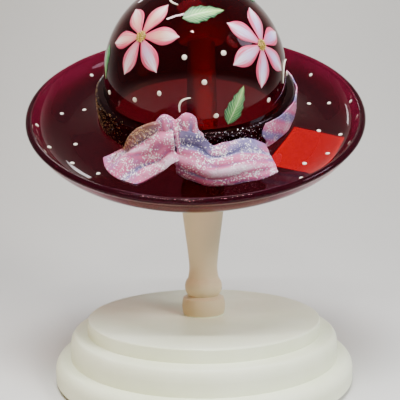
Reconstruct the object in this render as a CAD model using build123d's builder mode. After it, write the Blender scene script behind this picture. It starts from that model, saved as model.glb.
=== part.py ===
"""Painted ruby glass hat, tilted forward on its turned wooden display stand.

Millimetres, +Z up. The origin is the centre of the felt under the round base, on the table.
The camera side of the hat is -Y. The crown is a sphere about crown_centre, and everything on
the hat is placed from hat_plane, whose Z is the hat's own axis.
"""

import os
from math import asin, cos, degrees, radians, sin, sqrt

from build123d import *

# Base of the stand
felt_sheet = 1.5
lower_radius = 101.6
lower_thickness = 14.3
middle_radius = 91.7
middle_thickness = 15.2
top_radius = 80.5
top_thickness = 8.5
felt_margin = 6.0
lower_round = (5.0, 6.4)
middle_round = (3.2, 7.2)
top_edge_round = 1.0
lower_foot_round = 1.4

# Spindle: radii and heights above the base's top
foot_radius = 15.1
foot_height = 11.6
groove_radius = 10.6
groove_height = 13.2
bead_radius = 13.1
bead_height = 19.7
bead_end = 25.6
waist_radius = 9.95
waist_height = 31.0
shank_radius = 11.0
shank_height = 48.3
swell_radius = 16.6
swell_height = 82.0
collar_radius = 11.6
collar_height = 95.0
neck_radius = 9.4
tenon_radius = 9.0
tenon_clearance = 0.05

# Fixings under the base
post_screw_radius = 4.0
post_screw_depth = 34.0
post_screw_head_radius = 9.0
post_screw_head = 4.0
board_screw_radius = 2.0
board_screw_head_radius = 4.0
board_screw_head = 3.0
board_screw_length = 30.0
board_screw_circle = 58.0
board_screw_count = 4
hole_clearance = 0.2

# Head of the post and what turns on it
knob_radius = 20.0
knob_drop = 13.0
dowel_radius = 4.0
dowel_in_spindle = 18.0
dowel_in_knob = 16.0
running_clearance = 0.06
turning_gap = 0.3
felt_thickness = 2.5
felt_half_angle = 58.0

# Glass hat
hat_tilt = 35.4
hat_shift = -4.5
crown_height = 166.8
crown_radius = 62.6
glass = 4.0
wall_flare = 4.6
wall_drop = 32.6
dip_reach = 25.8
dip_drop = 3.2
turn_reach = 17.8
turn_rise = 6.2
end_reach = 3.4
end_rise = 9.6
fold_round = 4.0
dip_round = 36.0
turn_round = 11.0
lip_radius = 2.5
core_depth = -60.0

# Moulded band round the foot of the crown
band_thickness = 7.0
band_top = -6.0
band_bottom = -26.5
band_round = 2.0
panel_start = 38.0
panel_end = 128.0
panel_thickness = 0.9

# Ribbon bow on the front of the brim
bond = 0.06
knot_azimuth = -9.0
knot_reach = 6.0
knot_half_width = 16.5
knot_rise = 4.0
knot_waist = 11.0
knot_foot = -44.0
knot_round = 4.0
tail_round = 2.0
drape_drop = (9.0, 17.5, 32.5)
drape_reach = (-9.6, 12.4, 27.4)
left_sweep = (-48.0, -9.0)
right_sweep = (-9.0, 40.0)

# Outlines of the tails seen from above: turn from the front, and distance out from the band
left_outline = (
    (-41.0, 17.5),
    (-33.5, 26.5),
    (-23.5, 31.5),
    (-19.0, 27.0),
    (-11.0, 9.0),
    (-7.0, -4.0),
    (-10.0, -24.0),
    (-47.0, -4.0),
)
right_outline = (
    (-8.0, 11.0),
    (-3.0, 21.5),
    (5.5, 25.5),
    (16.5, 24.5),
    (32.5, 24.0),
    (35.0, 5.0),
    (34.0, -9.0),
    (-10.0, -24.0),
    (-11.0, -6.5),
)

# Enamel painting
enamel = 0.5
stem_radius = 0.5
dot_radius = 1.5
dot_height = 0.7
dot_lift = 0.15
blossom_centre_radius = 3.4
petal_start = 3.9
enamel_reach = 12.0

petal_count = 6

# Blossoms: azimuth and elevation on the crown, petal length and width, first petal's turn
blossoms = (
    (-42, 42, 21.0, 11.5, 20),
    (52, 34, 22.0, 12.0, 5),
)
# Leaves: azimuth, elevation, turn, length, width
leaves = (
    (11, 60, 8, 26.0, 12.5),
    (24, 7, 62, 25.0, 12.0),
    (-72, 18, -70, 22.0, 10.0),
    (94, 60, 120, 24.0, 11.0),
)
# Stems: from and to as azimuth and elevation, and how far the middle bows out
stems = (
    ((-20, 65), (-40, 74), 0.06),
    ((66, 6), (82, 14), 0.10),
    ((-8, 6), (-2, 14), 0.05),
)
crown_dot_places = (
    (-6, 35),
    (6, 22),
    (-36, 8),
    (20, 36),
    (12, 3),
    (48, 3),
    (-20, 15),
    (-62, 3),
    (84, 4),
)
# Brim dots: azimuth, and the share of the way from the crown to the rim
brim_dot_places = (
    (-127, 0.85),
    (-94, 0.75),
    (-78, 0.93),
    (-66, 0.84),
    (-54, 0.74),
    (-68, 0.62),
    (-100, 0.58),
    (-42, 0.66),
    (122, 0.88),
    (100, 0.78),
    (104, 0.62),
    (78, 0.62),
    (92, 0.95),
    (74, 0.80),
    (60, 0.76),
    (50, 0.66),
    (40, 0.78),
    (150, 0.80),
    (180, 0.70),
    (-155, 0.72),
)

boards_height = lower_thickness + middle_thickness + top_thickness
plate_top = felt_sheet + boards_height
crown_centre = Vector(hat_shift, 0, plate_top + crown_height)
hat_up = Vector(0, -sin(radians(hat_tilt)), cos(radians(hat_tilt)))
hat_plane = Plane(origin=crown_centre, x_dir=(1, 0, 0), z_dir=hat_up)
hat_axis = Axis(crown_centre, hat_up)
band_radius = crown_radius + band_thickness
wall_foot = (crown_radius + wall_flare, -wall_drop)
brim_dip = (wall_foot[0] + dip_reach, wall_foot[1] - dip_drop)
brim_turn = (brim_dip[0] + turn_reach, brim_dip[1] + turn_rise)
brim_end = (brim_turn[0] + end_reach, brim_turn[1] + end_rise)
section_plane = Plane(origin=crown_centre, x_dir=(1, 0, 0), z_dir=Vector(1, 0, 0).cross(hat_up))

knob_offset = crown_radius - glass - knob_radius - 2 * turning_gap - felt_thickness
knob_height = crown_centre.Z + sqrt(knob_offset**2 - hat_shift**2)
knob_bottom = knob_height - knob_drop
spindle_top = knob_bottom - turning_gap


def hat_place(radius, azimuth, height):
    """A point given by its distance from the hat's axis, its turn from the front and its height."""
    turn = radians(azimuth)
    return hat_plane.from_local_coords((radius * sin(turn), -radius * cos(turn), height))


def crown_direction(azimuth, elevation):
    """The outward direction from the crown's centre, as a world vector."""
    rise = radians(elevation)
    reach = hat_place(cos(rise), azimuth, sin(rise))
    return (reach - crown_centre).normalized()


def crown_tangent(outward, turn):
    """A direction on the crown's surface, turned from the level one that runs to the right."""
    level = hat_up.cross(outward).normalized()
    rising = outward.cross(level)
    return level * cos(radians(turn)) + rising * sin(radians(turn))


def crown_plane(outward, along, away=0.0):
    """A plane that touches the crown, or lies above it, with its X along the surface."""
    return Plane(origin=crown_centre + outward * (crown_radius + away), x_dir=along, z_dir=outward)


def upper_line(away):
    """Draws the hat's upper surface from the pole to the rim, moved outward by away, as r and z."""
    crown = CenterArc((0, 0), crown_radius + away, 90, -90)
    brim = FilletPolyline(
        (crown_radius + away, 0),
        (wall_foot[0] + away, wall_foot[1] + away),
        (brim_dip[0] - away / 4, brim_dip[1] + away),
        (brim_turn[0] - away / 2, brim_turn[1] + away),
        (brim_end[0] - away, brim_end[1]),
        radius=[fold_round - away, dip_round - away, turn_round - away],
    )
    return crown @ 0, brim


def hat_core(away):
    """All that lies under the hat's upper surface and its band, as one solid to cut other pieces with."""
    with BuildPart() as core:
        with BuildSketch(section_plane):
            with BuildLine():
                pole, brim = upper_line(away)
                rim = brim @ 1
                Polyline(rim, (rim.X, core_depth), (0, core_depth), pole)
            make_face()
        revolve(axis=hat_axis)
        with BuildSketch(section_plane):
            with BuildLine():
                edge = band_radius + away
                height = band_top + away
                Polyline((0, height), (edge, height), (edge, core_depth), (0, core_depth), close=True)
            make_face()
        revolve(axis=hat_axis)
    return core.part


def crown_skin(low, high):
    """A thin shell over the crown and its wall, between two distances from the glass."""
    with BuildPart() as skin:
        with BuildSketch(section_plane):
            with BuildLine():
                CenterArc((0, 0), crown_radius + low, 0, 90)
                CenterArc((0, 0), crown_radius + high, 0, 90)
                Line((0, crown_radius + low), (0, crown_radius + high))
                Line((crown_radius + low, 0), (wall_foot[0] + low, wall_foot[1]))
                Line((crown_radius + high, 0), (wall_foot[0] + high, wall_foot[1]))
                Line((wall_foot[0] + low, wall_foot[1]), (wall_foot[0] + high, wall_foot[1]))
            make_face()
        revolve(axis=hat_axis)
    return skin.part


def save(part, name):
    part.label = name
    export_step(part, "parts/" + name + ".step")


os.makedirs("parts", exist_ok=True)

# Three turned boards of the base, stacked and bored for the spindle's tenon and the screws
lower_top = felt_sheet + lower_thickness
middle_top = lower_top + middle_thickness
bore_radius = tenon_radius + tenon_clearance

with BuildPart() as base_lower_board:
    with BuildSketch(Plane.XZ) as lower_section:
        with BuildLine():
            edge = lower_radius
            shoulder = lower_top - lower_round[1]
            Polyline((0, lower_top), (0, felt_sheet), (edge - lower_foot_round, felt_sheet))
            Line((edge - lower_foot_round, felt_sheet), (edge, felt_sheet + lower_foot_round))
            Line((edge, felt_sheet + lower_foot_round), (edge, shoulder))
            middle = (edge - lower_round[0], shoulder)
            EllipticalCenterArc(middle, *lower_round, start_angle=0, arc_size=90)
            Line((edge - lower_round[0], lower_top), (0, lower_top))
        make_face()
    revolve(axis=Axis.Z)
    with BuildSketch(Plane.XY.offset(felt_sheet)) as lower_holes:
        Circle(post_screw_radius + hole_clearance)
        with PolarLocations(board_screw_circle, board_screw_count):
            Circle(board_screw_radius + hole_clearance)
    extrude(amount=lower_thickness, mode=Mode.SUBTRACT)
    with BuildSketch(Plane.XY.offset(felt_sheet)) as lower_recesses:
        Circle(post_screw_head_radius + hole_clearance)
        with PolarLocations(board_screw_circle, board_screw_count):
            Circle(board_screw_head_radius + hole_clearance)
    extrude(amount=post_screw_head, mode=Mode.SUBTRACT)
save(base_lower_board.part, "base_lower_board")

with BuildPart() as base_middle_board:
    with BuildSketch(Plane.XZ) as middle_section:
        with BuildLine():
            edge = middle_radius
            shoulder = middle_top - middle_round[1]
            Polyline((0, middle_top), (0, lower_top), (edge, lower_top), (edge, shoulder))
            middle = (edge - middle_round[0], shoulder)
            EllipticalCenterArc(middle, *middle_round, start_angle=0, arc_size=90)
            Line((edge - middle_round[0], middle_top), (0, middle_top))
        make_face()
    revolve(axis=Axis.Z)
    with BuildSketch(Plane.XY.offset(lower_top)) as middle_holes:
        Circle(bore_radius)
        with PolarLocations(board_screw_circle, board_screw_count):
            Circle(board_screw_radius + tenon_clearance)
    extrude(amount=middle_thickness, mode=Mode.SUBTRACT)
save(base_middle_board.part, "base_middle_board")

with BuildPart() as base_top_board:
    with BuildSketch(Plane.XY.offset(middle_top)):
        Circle(top_radius)
        Circle(bore_radius, mode=Mode.SUBTRACT)
    extrude(amount=top_thickness)
    rim_edges = base_top_board.edges().filter_by(GeomType.CIRCLE).group_by(Axis.Z)[-1]
    fillet(rim_edges.sort_by(SortBy.RADIUS)[-1], radius=top_edge_round)
    screw_reach = felt_sheet + post_screw_head + board_screw_length
    with BuildSketch(Plane.XY.offset(middle_top)) as top_holes:
        with PolarLocations(board_screw_circle, board_screw_count):
            Circle(board_screw_radius + tenon_clearance)
    extrude(amount=screw_reach + hole_clearance - middle_top, mode=Mode.SUBTRACT)
save(base_top_board.part, "base_top_board")

# Spindle: one turning, from the tenon in the boards to the flat seat of the head
with BuildPart() as spindle:
    with BuildSketch(Plane.XZ) as spindle_section:
        with BuildLine() as turned:
            seat = plate_top
            foot_start = (foot_radius - 0.8, seat)
            Polyline((0, lower_top), (tenon_radius, lower_top), (tenon_radius, seat), foot_start)
            foot_side = ThreePointArc(
                foot_start,
                (foot_radius, seat + foot_height / 2),
                (foot_radius - 1.6, seat + foot_height),
            )
            Line(foot_side @ 1, (groove_radius, seat + groove_height))
            bead_side = ThreePointArc(
                (groove_radius, seat + groove_height),
                (bead_radius, seat + bead_height),
                (waist_radius + 0.9, seat + bead_end),
            )
            Spline(
                bead_side @ 1,
                (waist_radius, seat + waist_height),
                (shank_radius, seat + shank_height),
                (swell_radius, seat + swell_height),
                tangents=((-0.25, 1), (0, 1)),
            )
            shoulder_side = ThreePointArc(
                (swell_radius, seat + swell_height),
                (swell_radius - 1.2, seat + (swell_height + collar_height) / 2),
                (collar_radius, seat + collar_height),
            )
            Polyline(shoulder_side @ 1, (neck_radius, spindle_top), (0, spindle_top), (0, lower_top))
        make_face()
    revolve(axis=Axis.Z)
    with BuildSketch(Plane.XY.offset(spindle_top)):
        Circle(dowel_radius + tenon_clearance)
    extrude(amount=-dowel_in_spindle, mode=Mode.SUBTRACT)
    with BuildSketch(Plane.XY.offset(lower_top)):
        Circle(post_screw_radius + tenon_clearance)
    extrude(amount=post_screw_depth - lower_thickness + post_screw_head + hole_clearance, mode=Mode.SUBTRACT)
save(spindle.part, "spindle")

# Screws from below: one long one into the spindle, and a ring of short ones through the boards
with BuildPart() as spindle_screw:
    with BuildSketch(Plane.XY.offset(felt_sheet)):
        RegularPolygon(post_screw_head_radius, 6)
    extrude(amount=post_screw_head)
    with BuildSketch(Plane.XY.offset(felt_sheet + post_screw_head)):
        Circle(post_screw_radius)
    extrude(amount=post_screw_depth)
save(spindle_screw.part, "spindle_screw")

with BuildPart() as base_screws:
    with BuildSketch(Plane.XY.offset(felt_sheet + post_screw_head - board_screw_head)):
        with PolarLocations(board_screw_circle, board_screw_count):
            Circle(board_screw_head_radius)
    extrude(amount=board_screw_head)
    with BuildSketch(Plane.XY.offset(felt_sheet + post_screw_head)):
        with PolarLocations(board_screw_circle, board_screw_count):
            Circle(board_screw_radius)
    extrude(amount=board_screw_length)
save(base_screws.part, "base_screws")

with BuildPart() as felt_base:
    with BuildSketch(Plane.XY):
        Circle(lower_radius - felt_margin)
    extrude(amount=felt_sheet)
save(felt_base.part, "felt_base")

# Head of the post: a dowel set in the spindle, a knob that turns on it, and a felt cap
with BuildPart() as head_dowel:
    with BuildSketch(Plane.XY.offset(spindle_top - dowel_in_spindle)):
        Circle(dowel_radius)
    extrude(amount=dowel_in_spindle + turning_gap + dowel_in_knob)
    chamfer(head_dowel.edges().group_by(Axis.Z)[-1], length=0.6)
save(head_dowel.part, "head_dowel")

with BuildPart() as post_head:
    with BuildSketch(Plane.XZ):
        with BuildLine():
            sunk = degrees(asin(knob_drop / knob_radius))
            ball = CenterArc((0, knob_height), knob_radius, -sunk, 90 + sunk)
            Polyline(ball @ 1, (0, knob_bottom), (ball @ 0), close=False)
        make_face()
    revolve(axis=Axis.Z)
    with BuildSketch(Plane.XY.offset(knob_bottom)):
        Circle(dowel_radius + running_clearance)
    extrude(amount=dowel_in_knob + turning_gap, mode=Mode.SUBTRACT)
save(post_head.part, "post_head")

with BuildPart() as felt_cap:
    with BuildSketch(Plane.XZ):
        with BuildLine():
            inner = knob_radius + turning_gap
            first = 90 - felt_half_angle
            inside = CenterArc((0, knob_height), inner, first, felt_half_angle)
            outside = CenterArc((0, knob_height), inner + felt_thickness, first, felt_half_angle)
            Line(inside @ 0, outside @ 0)
            Line(inside @ 1, outside @ 1)
        make_face()
    revolve(axis=Axis.Z)
save(felt_cap.part, "felt_cap")

# Glass: crown and brim in one blown shell, with a thick rounded lip
with BuildPart() as glass_shell:
    with BuildSketch(section_plane):
        with BuildLine():
            upper_pole, upper_brim = upper_line(0)
            lower_pole, lower_brim = upper_line(-glass)
            Line(upper_pole, lower_pole)
            lip_line = Line(upper_brim @ 1, lower_brim @ 1)
        make_face()
        with Locations(lip_line @ 0.5):
            Circle(lip_radius)
    revolve(axis=hat_axis)
save(glass_shell.part, "glass_shell")

# Moulded band round the foot of the crown, and the frosted ribbon end that laps it on the right
with BuildPart() as hat_band:
    with BuildSketch(section_plane):
        with BuildLine():
            rise = (band_top, band_bottom)
            slope = (wall_foot[0] - crown_radius) / wall_foot[1]
            inner_radii = [crown_radius + bond + slope * height for height in rise]
            Line((inner_radii[0], band_top), (inner_radii[1], band_bottom))
            Line((inner_radii[1], band_bottom), (band_radius, band_bottom))
            Line((band_radius, band_bottom), (band_radius, band_top))
            Line((band_radius, band_top), (inner_radii[0], band_top))
        make_face()
    revolve(axis=hat_axis)
    top_edges = hat_band.edges().filter_by(GeomType.CIRCLE).sort_by(SortBy.RADIUS)[-2:]
    fillet(top_edges, radius=band_round)
save(hat_band.part, "hat_band")


def turned_section(azimuth):
    """The plane of the hat's section, turned round its axis from the front."""
    outward = (hat_place(1, azimuth, 0) - crown_centre).normalized()
    return Plane(origin=crown_centre, x_dir=outward, z_dir=outward.cross(hat_up))


with BuildPart() as band_ribbon:
    with BuildSketch(turned_section(panel_start)):
        with BuildLine():
            low = band_radius + bond
            high = band_radius + panel_thickness
            tall = (band_bottom + band_round, band_top - band_round)
            Polyline((low, tall[0]), (high, tall[0]), (high, tall[1]), (low, tall[1]), close=True)
        make_face()
    revolve(axis=hat_axis, revolution_arc=panel_end - panel_start)
save(band_ribbon.part, "band_ribbon")

# Ribbon bow: a double knot against the band, and two tails draped from it onto the brim
bow_core = hat_core(bond)
knot_out = turned_section(knot_azimuth).x_dir
knot_plane = Plane(
    origin=crown_centre + knot_out * band_radius,
    x_dir=hat_up.cross(knot_out),
    z_dir=knot_out,
)


def knot_outline(grow):
    """Draws the two lobes of the knot as seen from the front, larger by grow all round."""
    side = knot_half_width + grow
    top = knot_rise + grow
    foot = knot_waist + grow
    left_lobe = ThreePointArc((-side, top / 2), (-side / 2, top * 1.4), (0, top * 0.2))
    right_lobe = ThreePointArc((0, top * 0.2), (side / 2, top), (side, -top))
    Polyline(right_lobe @ 1, (foot, knot_foot), (-foot, knot_foot), left_lobe @ 0)


with BuildPart() as bow_knot:
    with BuildSketch(knot_plane):
        with BuildLine():
            knot_outline(0)
        make_face()
    extrude(amount=knot_reach)
    extrude(bow_knot.faces().sort_by(Axis(knot_plane.origin, knot_out))[0], amount=2 * band_thickness)
    front = bow_knot.faces().sort_by(Axis(knot_plane.origin, knot_out))[-1]
    fillet(front.edges(), radius=knot_round)
    add(bow_core, mode=Mode.SUBTRACT)
save(bow_knot.part, "bow_knot")


drape_line = [(band_radius + out, -drop) for out, drop in zip(drape_reach, drape_drop)]


def drape(sweep, outline):
    """A tail of the ribbon: a wedge that leans on the band, cut to its outline from above."""
    corners = []
    for azimuth, out in outline:
        corner = hat_plane.to_local_coords(hat_place(band_radius + out, azimuth, 0))
        corners.append((corner.X, corner.Y))
    with BuildPart() as tail:
        with BuildSketch(turned_section(sweep[0])):
            with BuildLine():
                slide = ThreePointArc(*drape_line)
                outer, inner = (slide @ 1).X, (slide @ 0).X
                Polyline(slide @ 1, (outer, core_depth), (inner, core_depth), slide @ 0)
            make_face()
        revolve(axis=hat_axis, revolution_arc=sweep[1] - sweep[0])
        with BuildSketch(hat_plane.offset(core_depth)):
            with BuildLine():
                FilletPolyline(*corners, radius=tail_round, close=True)
            make_face()
        extrude(amount=-core_depth + crown_radius, mode=Mode.INTERSECT)
        add(bow_core, mode=Mode.SUBTRACT)
        with BuildSketch(knot_plane.offset(-2 * band_thickness)):
            with BuildLine():
                knot_outline(bond)
            make_face()
        extrude(amount=knot_reach + bond + 2 * band_thickness, mode=Mode.SUBTRACT)
    return tail.part


left_tail = drape(left_sweep, left_outline)
save(left_tail, "bow_left_tail")
right_tail = drape(right_sweep, right_outline)
save(right_tail, "bow_right_tail")

# Enamel painting: two blossoms, leaves, stems and scattered dots, each a thin coat on the glass
painted_skin = crown_skin(bond, bond + enamel)


def outward_from(centre, turn, distance):
    """The direction on the crown that lies a distance away from centre, and the way onwards."""
    along = crown_tangent(centre, turn)
    angle = distance / crown_radius
    return centre * cos(angle) + along * sin(angle), along * cos(angle) - centre * sin(angle)


def petal_outline(length, width):
    """Draws a petal that starts narrow, swells past its middle and ends in a blunt point."""
    foot = width * 0.16
    swell = (length * 0.12, width / 2)
    upper = Spline((-length / 2, foot), swell, (length / 2, 0.0), tangents=((1, 0.2), (0.4, -1)))
    swell = (length * 0.12, -width / 2)
    lower = Spline((-length / 2, -foot), swell, (length / 2, 0.0), tangents=((1, -0.2), (0.4, 1)))
    Line(upper @ 0, lower @ 0)


def leaf_outline(length, width):
    """Draws a leaf that is pointed at both ends, broadest near its stalk."""
    for side in (1, -1):
        swell = (-length * 0.12, side * width / 2)
        Spline((-length / 2, 0), swell, (length / 2, 0), tangents=((0.3, side), (1, -0.25 * side)))


with BuildPart() as blossom_petals:
    for azimuth, elevation, length, width, first in blossoms:
        centre = crown_direction(azimuth, elevation)
        for index in range(petal_count):
            turn = first + index * 360 / petal_count
            middle, along = outward_from(centre, turn, petal_start + length / 2)
            with BuildSketch(crown_plane(middle, along)):
                with BuildLine():
                    petal_outline(length, width)
                make_face()
            extrude(amount=enamel_reach, both=True)
    add(painted_skin, mode=Mode.INTERSECT)
save(blossom_petals.part, "blossom_petals")

with BuildPart() as blossom_centres:
    for azimuth, elevation, length, width, first in blossoms:
        centre = crown_direction(azimuth, elevation)
        with BuildSketch(crown_plane(centre, crown_tangent(centre, 0))):
            Circle(blossom_centre_radius)
        extrude(amount=enamel_reach, both=True)
    add(crown_skin(bond, bond + 2 * enamel), mode=Mode.INTERSECT)
save(blossom_centres.part, "blossom_centres")

with BuildPart() as painted_leaves:
    for azimuth, elevation, turn, length, width in leaves:
        centre = crown_direction(azimuth, elevation)
        with BuildSketch(crown_plane(centre, crown_tangent(centre, turn))):
            with BuildLine():
                leaf_outline(length, width)
            make_face()
        extrude(amount=enamel_reach, both=True)
    add(painted_skin, mode=Mode.INTERSECT)
save(painted_leaves.part, "painted_leaves")

with BuildPart() as painted_stems:
    for start, end, bow in stems:
        first = crown_direction(*start)
        last = crown_direction(*end)
        middle = (first + last).normalized()
        across = first.cross(last).normalized()
        middle = (middle + across * bow).normalized()
        away = crown_radius + bond + stem_radius
        with BuildLine() as stem_line:
            ThreePointArc(*[crown_centre + way * away for way in (first, middle, last)])
        with BuildSketch(Plane(origin=stem_line.line @ 0, z_dir=stem_line.line % 0)):
            Circle(stem_radius)
        sweep(path=stem_line.line)
save(painted_stems.part, "painted_stems")


def dot_solids(planes):
    """Round raised dots of enamel, one on each plane."""
    with BuildPart() as dots:
        for plane in planes:
            with BuildSketch(plane.offset(dot_lift)):
                Circle(dot_radius)
            extrude(amount=dot_height, taper=30)
    return dots.part


crown_planes = []
for azimuth, elevation in crown_dot_places:
    outward = crown_direction(azimuth, elevation)
    crown_planes.append(crown_plane(outward, crown_tangent(outward, 0)))
crown_dots = dot_solids(crown_planes)
save(crown_dots, "crown_dots")

with BuildLine() as flat_profile:
    flat_pole, flat_brim = upper_line(0)
brim_planes = []
for azimuth, share in brim_dot_places:
    place = flat_brim @ share
    slope = flat_brim % share
    spot = hat_place(place.X, azimuth, place.Y)
    outward = turned_section(azimuth).x_dir
    normal = hat_up * slope.X - outward * slope.Y
    brim_planes.append(Plane(origin=spot, x_dir=outward.cross(hat_up), z_dir=normal))
brim_dots = dot_solids(brim_planes)
save(brim_dots, "brim_dots")
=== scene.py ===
"""Painted ruby glass hat, tilted on its turned cream stand, in a plain pale studio.

Metres. Pieces of the hat are shaped upright round the middle of the crown, with the hat's
own axis as Z and its front towards -Y, and are tipped into place when they are finished.
"""

import math
import random

import bpy
from mathutils import Matrix, Vector, noise


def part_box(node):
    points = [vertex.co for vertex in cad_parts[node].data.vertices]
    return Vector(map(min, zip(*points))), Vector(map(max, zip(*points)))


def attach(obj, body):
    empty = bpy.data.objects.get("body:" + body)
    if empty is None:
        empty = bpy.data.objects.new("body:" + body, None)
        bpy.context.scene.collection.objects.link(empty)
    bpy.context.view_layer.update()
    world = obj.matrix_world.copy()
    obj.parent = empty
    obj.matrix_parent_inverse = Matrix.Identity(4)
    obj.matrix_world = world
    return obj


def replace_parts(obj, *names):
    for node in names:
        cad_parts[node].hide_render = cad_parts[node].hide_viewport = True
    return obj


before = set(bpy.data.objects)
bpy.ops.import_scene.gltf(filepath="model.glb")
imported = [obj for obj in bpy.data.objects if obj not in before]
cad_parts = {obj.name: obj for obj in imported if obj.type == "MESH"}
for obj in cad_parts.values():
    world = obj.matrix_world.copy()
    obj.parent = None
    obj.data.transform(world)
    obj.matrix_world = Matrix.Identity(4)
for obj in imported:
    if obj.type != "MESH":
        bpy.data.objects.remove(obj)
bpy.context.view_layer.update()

MM = 0.001

# Hat
HAT_TILT = math.radians(35.4)
CROWN_CENTRE = Vector((-0.0045, 0, 0.2063))
HAT_PLACE = Matrix.Translation(CROWN_CENTRE) @ Matrix.Rotation(HAT_TILT, 4, "X")
CROWN_RADIUS = 62.6
GLASS = 4.0
WALL_FOOT = (67.2, -32.6)
BRIM_CORNERS = ((62.6, 0), (67.2, -32.6), (93.0, -35.8), (110.8, -29.6), (114.2, -20.0))
BRIM_ROUNDS = (4.0, 36.0, 11.0)
LIP_RADIUS = 2.5
BAND_RADIUS = 69.6
BAND_TOP = -6.0
BAND_BOTTOM = -26.5


# ---- Camera: a little above the brim, square to the front ----

def add_camera():
    """The camera stands in front of the hat, level with its brim, and looks slightly down."""
    yaw, pitch, roll = math.radians(-0.28), math.radians(2.75), math.radians(-0.52)
    ahead = Vector((math.sin(yaw) * math.cos(pitch), math.cos(yaw) * math.cos(pitch), -math.sin(pitch)))
    level = Vector((math.cos(yaw), -math.sin(yaw), 0))
    over = level.cross(ahead)
    right = level * math.cos(roll) + over * math.sin(roll)
    above = over * math.cos(roll) - level * math.sin(roll)
    bpy.ops.object.camera_add()
    camera = bpy.context.object
    camera.name = "front_camera"
    turn = Matrix((right, above, -ahead)).transposed().to_4x4()
    camera.matrix_world = Matrix.Translation((0, -0.385, 0.138)) @ turn
    camera.data.lens = 49.5
    camera.data.sensor_width = 36
    camera.data.clip_start = 0.01
    bpy.context.scene.camera = camera


# ---- Shaping helpers ----

def lone(obj):
    """Selects one object and nothing else."""
    if bpy.context.object and bpy.context.object.mode != "OBJECT":
        bpy.ops.object.mode_set(mode="OBJECT")
    bpy.ops.object.select_all(action="DESELECT")
    bpy.context.view_layer.objects.active = obj
    obj.select_set(True)
    return obj


def tidy_mesh(obj, merge=0.02 * MM):
    """Merges doubles, drops loose bits and points all faces outwards."""
    lone(obj)
    bpy.ops.object.mode_set(mode="EDIT")
    bpy.ops.mesh.select_all(action="SELECT")
    bpy.ops.mesh.remove_doubles(threshold=merge)
    bpy.ops.mesh.delete_loose()
    bpy.ops.mesh.select_all(action="SELECT")
    bpy.ops.mesh.normals_make_consistent(inside=False)
    bpy.ops.object.mode_set(mode="OBJECT")


def turned(name, outline, steps=128, sharp=40):
    """Turns an outline of radius and height, in mm, round the Z axis. It starts and ends on
    the axis, or closes on itself where it is a ring."""
    bpy.ops.object.select_all(action="DESELECT")
    bpy.ops.mesh.primitive_circle_add(vertices=len(outline), radius=0.1)
    obj = bpy.context.object
    obj.name = name
    for vertex, (radius, height) in zip(obj.data.vertices, outline):
        vertex.co = (radius * MM, 0, height * MM)
    lone(obj)
    bpy.ops.object.mode_set(mode="EDIT")
    bpy.ops.mesh.select_all(action="SELECT")
    bpy.ops.mesh.spin(steps=steps, angle=2 * math.pi, center=(0, 0, 0), axis=(0, 0, 1))
    bpy.ops.object.mode_set(mode="OBJECT")
    tidy_mesh(obj)
    bpy.ops.object.shade_smooth_by_angle(angle=math.radians(sharp))
    return obj


def rounded(corners, rounds, step=1.2):
    """Points along a run of straight lines whose inner corners are rounded, in mm."""
    corners = [Vector(corner) for corner in corners]
    points = [corners[0]]
    for before, corner, after, radius in zip(corners, corners[1:], corners[2:], rounds):
        back, on = (before - corner).normalized(), (after - corner).normalized()
        half = back.angle(on) / 2
        start, end = (corner + way * radius / math.tan(half) for way in (back, on))
        middle = corner + (back + on).normalized() * radius / math.sin(half)
        first, last = start - middle, end - middle
        count = max(2, int(first.length * first.angle(last) / step))
        for index in range(count + 1):
            arm = first.lerp(last, index / count).normalized() * radius
            points.append(middle + arm)
    points.append(corners[-1])
    return points


def spaced(points, step):
    """The same run with its points evenly spaced."""
    lengths = [0.0]
    for first, last in zip(points, points[1:]):
        lengths.append(lengths[-1] + (last - first).length)
    count = max(2, round(lengths[-1] / step))
    result, index = [], 0
    for number in range(count + 1):
        reach = lengths[-1] * number / count
        while index < len(points) - 2 and lengths[index + 1] < reach:
            index += 1
        share = (reach - lengths[index]) / max(1e-9, lengths[index + 1] - lengths[index])
        result.append(points[index].lerp(points[index + 1], min(1, share)))
    return result


def eased(points, rounds):
    """The same run with its kinks smoothed out, its two ends kept."""
    for _ in range(rounds):
        middles = [(a + 2 * b + c) / 4 for a, b, c in zip(points, points[1:], points[2:])]
        points = [points[0]] + middles + [points[-1]]
    return points


def beside(points, distance):
    """The run moved sideways by a distance, to the side of the hat's inside."""
    result = []
    for index, point in enumerate(points):
        before, after = points[max(0, index - 1)], points[min(len(points) - 1, index + 1)]
        way = (after - before).normalized()
        if index == 0:
            way = Vector((1, 0))
        result.append(point + Vector((way.y, -way.x)) * distance)
    return result


def on_hat(obj, body="hat"):
    """Tips a finished piece of the hat into place and lets it ride with the glass."""
    lone(obj)
    obj.matrix_world = HAT_PLACE @ obj.matrix_world
    bpy.ops.object.transform_apply(location=True, rotation=True, scale=True)
    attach(obj, body)
    return obj


def finished(obj, kind, *values, **settings):
    """Adds a modifier with its settings and applies it."""
    lone(obj)
    made = obj.modifiers.new(kind.title(), kind)
    for key, value in settings.items():
        setattr(made, key, value)
    bpy.ops.object.modifier_apply(modifier=made.name)


def joined(pieces, name):
    """Joins pieces into one object."""
    bpy.ops.object.select_all(action="DESELECT")
    for piece in pieces:
        piece.select_set(True)
    bpy.context.view_layer.objects.active = pieces[0]
    bpy.ops.object.join()
    obj = bpy.context.object
    obj.name = name
    return obj


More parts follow.
